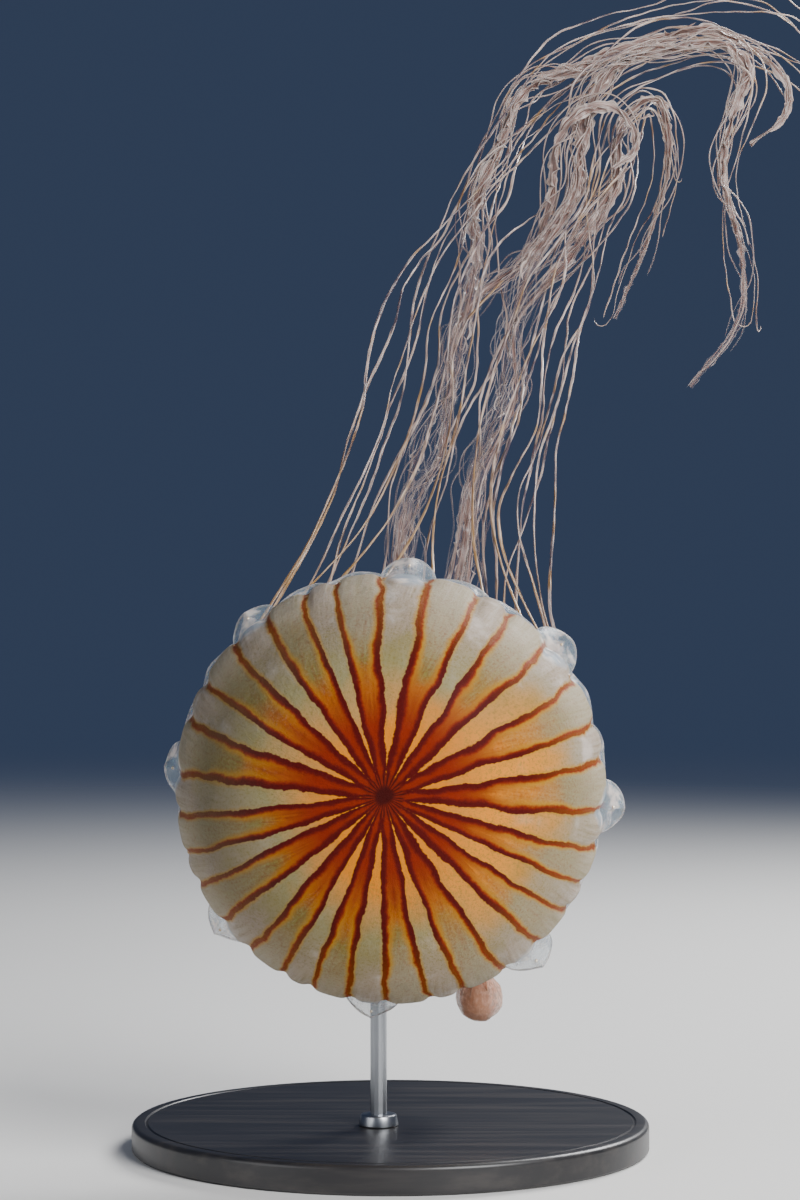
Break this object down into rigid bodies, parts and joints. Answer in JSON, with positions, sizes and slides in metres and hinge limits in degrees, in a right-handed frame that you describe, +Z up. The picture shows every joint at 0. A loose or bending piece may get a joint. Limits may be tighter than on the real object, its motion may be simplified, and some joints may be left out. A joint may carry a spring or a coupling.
{
  "type": "sea nettle jellyfish model on a display stand",
  "caption": "Still, life-size model of a striped sea nettle: domed bell with a lobed margin, long trailing tentacles and ruffled mouth arms, on an oval base with one rod.",
  "frame": {"origin": "centre of the underside of the stand's oval base", "axes": "+Z up; the crown of the bell faces -Y, and the tentacles and mouth arms trail to +Y, rise, and arch over to +X"},
  "size_m": [0.3414, 0.3024, 0.5288],
  "materials": {
    "bell_jelly": "wet translucent jelly, cream and amber, with rust-brown rays from the crown to the margin",
    "mouth_stalk": "smooth wet jelly, warm amber brown",
    "mouth_arms": "soft translucent frill, pinkish white with amber tints",
    "tentacles": "smooth wet strands, mauve white with amber tints",
    "stand_plate": "black-stained hardwood under satin lacquer",
    "stand_rod": "brushed stainless steel"
  },
  "bodies": {
    "root": {"bell": "bell_jelly", "mouth_arm_1_a": "mouth_arms", "mouth_arm_1_b": "mouth_arms", "mouth_arm_2_a": "mouth_arms", "mouth_arm_2_b": "mouth_arms", "mouth_arm_3_a": "mouth_arms", "mouth_arm_3_b": "mouth_arms", "mouth_arm_4_a": "mouth_arms", "mouth_arm_4_b": "mouth_arms", "mouth_stalk": "mouth_stalk", "stand_base": "stand_plate", "stand_rod": "stand_rod", "tentacle_01_a": "tentacles", "tentacle_01_b": "tentacles", "tentacle_02_a": "tentacles", "tentacle_02_b": "tentacles", "tentacle_03_a": "tentacles", "tentacle_03_b": "tentacles", "tentacle_04_a": "tentacles", "tentacle_04_b": "tentacles", "tentacle_05_a": "tentacles", "tentacle_05_b": "tentacles", "tentacle_06_a": "tentacles", "tentacle_06_b": "tentacles", "tentacle_07_a": "tentacles", "tentacle_07_b": "tentacles", "tentacle_08_a": "tentacles", "tentacle_08_b": "tentacles", "tentacle_09_a": "tentacles", "tentacle_09_b": "tentacles", "tentacle_10_a": "tentacles", "tentacle_10_b": "tentacles", "tentacle_11_a": "tentacles", "tentacle_11_b": "tentacles", "tentacle_12_a": "tentacles", "tentacle_12_b": "tentacles", "tentacle_13_a": "tentacles", "tentacle_13_b": "tentacles", "tentacle_14_a": "tentacles", "tentacle_14_b": "tentacles", "tentacle_15_a": "tentacles", "tentacle_15_b": "tentacles", "tentacle_16_a": "tentacles", "tentacle_16_b": "tentacles", "tentacle_17_a": "tentacles", "tentacle_17_b": "tentacles", "tentacle_18_a": "tentacles", "tentacle_18_b": "tentacles", "tentacle_19_a": "tentacles", "tentacle_19_b": "tentacles", "tentacle_20_a": "tentacles", "tentacle_20_b": "tentacles", "tentacle_21_a": "tentacles", "tentacle_21_b": "tentacles", "tentacle_22_a": "tentacles", "tentacle_22_b": "tentacles", "tentacle_23_a": "tentacles", "tentacle_23_b": "tentacles", "tentacle_24_a": "tentacles", "tentacle_24_b": "tentacles"}
  },
  "joints": []
}
